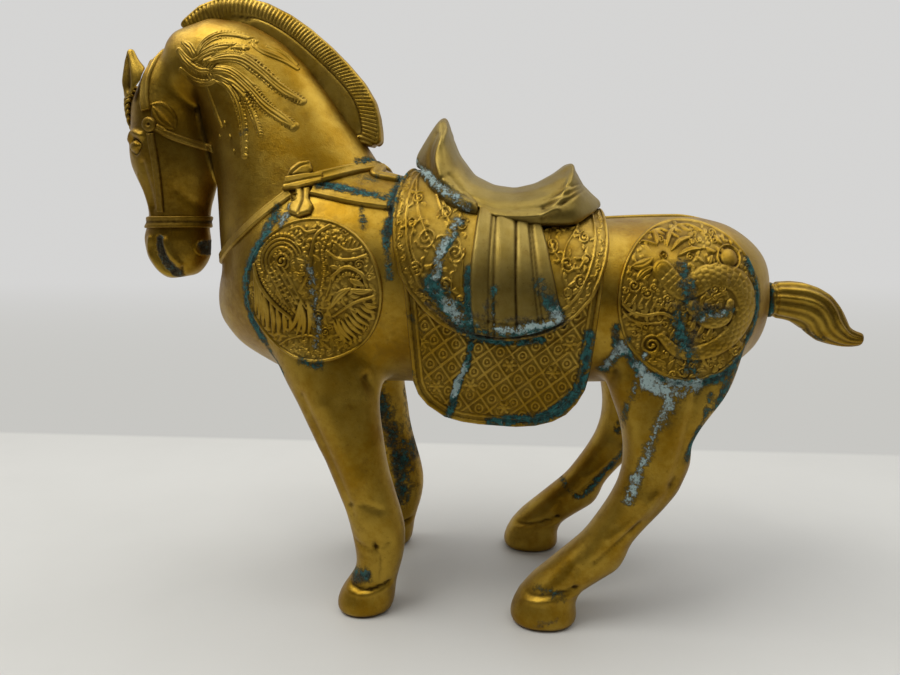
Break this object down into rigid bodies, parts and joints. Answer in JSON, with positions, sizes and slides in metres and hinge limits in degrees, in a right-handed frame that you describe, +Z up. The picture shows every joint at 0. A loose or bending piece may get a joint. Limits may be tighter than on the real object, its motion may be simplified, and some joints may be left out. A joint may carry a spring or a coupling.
{
  "type": "bronze horse statue",
  "caption": "Standing saddled horse figurine brazed from bronze castings, with a pommelled saddle, blanket, mudguards, harness and round relief medallions.",
  "frame": {"origin": "on the ground, under the middle of the statue's bounding box", "axes": "-X is the way the horse faces, -Y is its left side, +Z is up"},
  "size_m": [0.3306, 0.1074, 0.2672],
  "materials": {
    "body": "satin cast bronze with brown patina in the hollows and some green corrosion",
    "relief": "chased bronze relief with dark patina in the grooves and green corrosion",
    "saddle": "smooth satin bronze, corroded at the lower edges",
    "harness": "satin bronze with patina along the edges"
  },
  "bodies": {
    "root": {"body_half_left": "body", "body_half_right": "body", "head": "body", "front_leg_left": "body", "front_leg_right": "body", "hind_leg_left": "body", "hind_leg_right": "body", "tail": "body", "ear_left": "body", "ear_right": "body", "mane_crest": "relief", "forelock": "relief", "mudguard_left": "relief", "mudguard_right": "relief", "saddle_blanket": "relief", "chest_medallion_left": "relief", "chest_medallion_right": "relief", "rump_medallion_left": "relief", "rump_medallion_right": "relief", "saddle_seat": "saddle", "saddle_front_roll": "saddle", "saddle_rear_roll": "saddle", "pleated_drape_left": "saddle", "pleated_drape_right": "saddle", "breast_knot_left": "harness", "breast_knot_right": "harness", "upper_breast_strap_left": "harness", "upper_breast_strap_right": "harness", "lower_breast_strap_left": "harness", "lower_breast_strap_right": "harness", "chest_strap_left": "harness", "chest_strap_right": "harness", "crupper_strap": "harness", "crown_strap": "harness", "rosette_left": "harness", "rosette_right": "harness", "cheek_strap_left": "harness", "cheek_strap_right": "harness", "throat_strap_left": "harness", "throat_strap_right": "harness", "noseband": "harness"}
  },
  "joints": []
}
